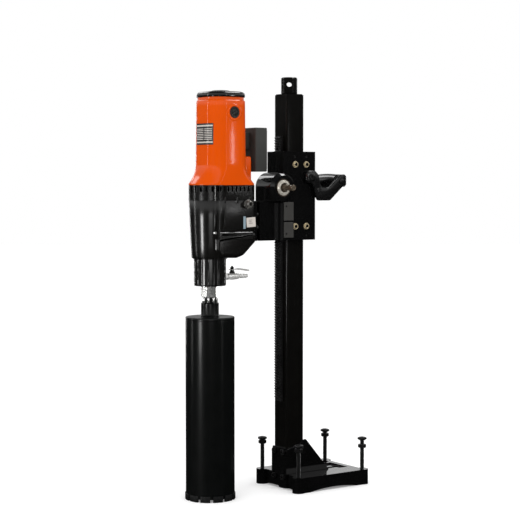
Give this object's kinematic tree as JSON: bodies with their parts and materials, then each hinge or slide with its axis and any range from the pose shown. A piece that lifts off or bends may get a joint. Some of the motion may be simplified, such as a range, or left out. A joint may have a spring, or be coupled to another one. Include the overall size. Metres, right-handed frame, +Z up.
{
  "type": "core drill rig",
  "caption": "Stand-mounted wet core drill: square column with feed rack on a cast base, sliding carriage, geared motor, water valve and tubular core bit.",
  "frame": {"origin": "on the column axis at floor level, on the underside of the base's middle pad", "axes": "+Z up along the column, -X towards the drill, +Y across the base"},
  "size_m": [0.4614, 0.1761, 0.969],
  "materials": {
    "cast_black": "satin black enamel over a cast surface",
    "column_black": "satin black powder coat",
    "rack_steel": "blackened, oiled teeth",
    "black_bolts": "black oxide",
    "slide_nylon": "natural nylon",
    "grey_steel": "dull grey",
    "yellow_zinc": "yellow zinc plate",
    "turned_steel": "turned, lightly oiled",
    "gloss_black": "glossy black",
    "box_grey": "fine textured dark grey",
    "switch_red": "glossy",
    "board_green": "solder mask",
    "nickel": "nickel plate",
    "orange_shell": "glossy lacquer",
    "cap_black": "moulded",
    "brass_parts": "drawn",
    "carbon": "pressed graphite",
    "core_steel": "laminated",
    "copper_winding": "enamelled copper",
    "bright_steel": "ground",
    "fan_plastic": "moulded",
    "case_black": "semi-gloss black lacquer",
    "zinc_screw": "zinc plate",
    "seal_rubber": "matte",
    "chrome_nut": "polished",
    "bit_black": "satin black lacquer",
    "crown_steel": "dark sintered metal",
    "label_white": "printed foil, blank"
  },
  "bodies": {
    "stand": {"base_plate": "cast_black", "column_shoe": "cast_black", "shoe_bolts": "black_bolts", "column_tube": "column_black", "gear_rack": "rack_steel", "rack_screws": "black_bolts", "column_top_nut": "column_black"},
    "jack": {"jack_screw": "column_black"},
    "leveler_1": {"level_screw_1": "black_bolts", "lock_nut_1": "black_bolts"},
    "leveler_2": {"level_screw_2": "black_bolts", "lock_nut_2": "black_bolts"},
    "leveler_3": {"level_screw_3": "black_bolts", "lock_nut_3": "black_bolts"},
    "leveler_4": {"level_screw_4": "black_bolts", "lock_nut_4": "black_bolts"},
    "carriage": {"carriage_housing": "cast_black", "guide_pads": "slide_nylon", "gib_plates": "grey_steel", "carriage_bolts": "yellow_zinc", "pinion_bushes": "turned_steel", "handle_frame": "gloss_black", "handle_grip": "gloss_black", "handle_bolts": "black_bolts", "motor_bracket": "cast_black", "bracket_bolts": "black_bolts", "switch_box": "box_grey", "control_board": "board_green", "cable_gland": "nickel", "motor_housing": "orange_shell", "end_cap": "gloss_black", "brush_caps": "cap_black", "brush_holders": "brass_parts", "carbon_brushes": "carbon", "stator_core": "core_steel", "field_coils": "copper_winding", "motor_bearings": "bright_steel", "vent_ring": "case_black", "gear_case": "case_black", "case_screws": "zinc_screw", "intermediate_bearings": "bright_steel", "spindle_bearings": "bright_steel", "spindle_collar": "case_black", "water_seals": "seal_rubber", "water_valve_body": "nickel", "nameplates": "label_white"},
    "feed_shaft": {"feed_pinion_shaft": "turned_steel"},
    "rocker": {"switch_rocker": "switch_red"},
    "armature": {"armature_shaft": "bright_steel", "armature_core": "copper_winding", "commutator": "copper_winding", "cooling_fan": "fan_plastic"},
    "intermediate": {"intermediate_gear": "bright_steel", "intermediate_shaft": "bright_steel"},
    "spindle": {"output_gear": "bright_steel", "spindle_shaft": "bright_steel", "bit_coupling": "chrome_nut", "core_bit_tube": "bit_black", "crown_segments": "crown_steel"},
    "valve_handle": {"water_valve_lever": "nickel"}
  },
  "joints": [
    {"name": "carriage_feed", "type": "slide", "parent": "stand", "child": "carriage", "axis": [0, 0, 1], "range_m": [-0.46, 0.095]},
    {"name": "feed_pinion_turn", "type": "hinge", "parent": "carriage", "child": "feed_shaft", "pos_m": [-0.052, 0, 0.711], "axis": [0, 1, 0], "range_deg": [-1470, 310]},
    {"name": "spindle_turn", "type": "hinge", "parent": "carriage", "child": "spindle", "pos_m": [-0.224, 0, 0.3], "axis": [0, 0, 1], "continuous": true},
    {"name": "intermediate_turn", "type": "hinge", "parent": "carriage", "child": "intermediate", "pos_m": [-0.1802, 0.01964, 0.63], "axis": [0, 0, 1], "continuous": true},
    {"name": "armature_turn", "type": "hinge", "parent": "carriage", "child": "armature", "pos_m": [-0.194, 0, 0.79], "axis": [0, 0, 1], "continuous": true},
    {"name": "valve_lever_turn", "type": "hinge", "parent": "carriage", "child": "valve_handle", "pos_m": [-0.163, 0, 0.5075], "axis": [0, 0, 1], "range_deg": [0, 90]},
    {"name": "power_rocker", "type": "hinge", "parent": "carriage", "child": "rocker", "pos_m": [-0.104, 0.029, 0.804], "axis": [1, 0, 0], "range_deg": [-10, 0]},
    {"name": "jack_screw_travel", "type": "slide", "parent": "stand", "child": "jack", "axis": [0, 0, 1], "range_m": [0, 0.045]},
    {"name": "level_screw_1_travel", "type": "slide", "parent": "stand", "child": "leveler_1", "axis": [0, 0, 1], "range_m": [-0.045, 0.02]},
    {"name": "level_screw_2_travel", "type": "slide", "parent": "stand", "child": "leveler_2", "axis": [0, 0, 1], "range_m": [-0.045, 0.02]},
    {"name": "level_screw_3_travel", "type": "slide", "parent": "stand", "child": "leveler_3", "axis": [0, 0, 1], "range_m": [-0.045, 0.02]},
    {"name": "level_screw_4_travel", "type": "slide", "parent": "stand", "child": "leveler_4", "axis": [0, 0, 1], "range_m": [-0.045, 0.02]}
  ],
  "couplings": [
    {"joint": "feed_pinion_turn", "follows": "carriage_feed", "rad_per_m": 55.556},
    {"joint": "intermediate_turn", "follows": "spindle_turn", "ratio": -3},
    {"joint": "armature_turn", "follows": "spindle_turn", "ratio": 9}
  ]
}
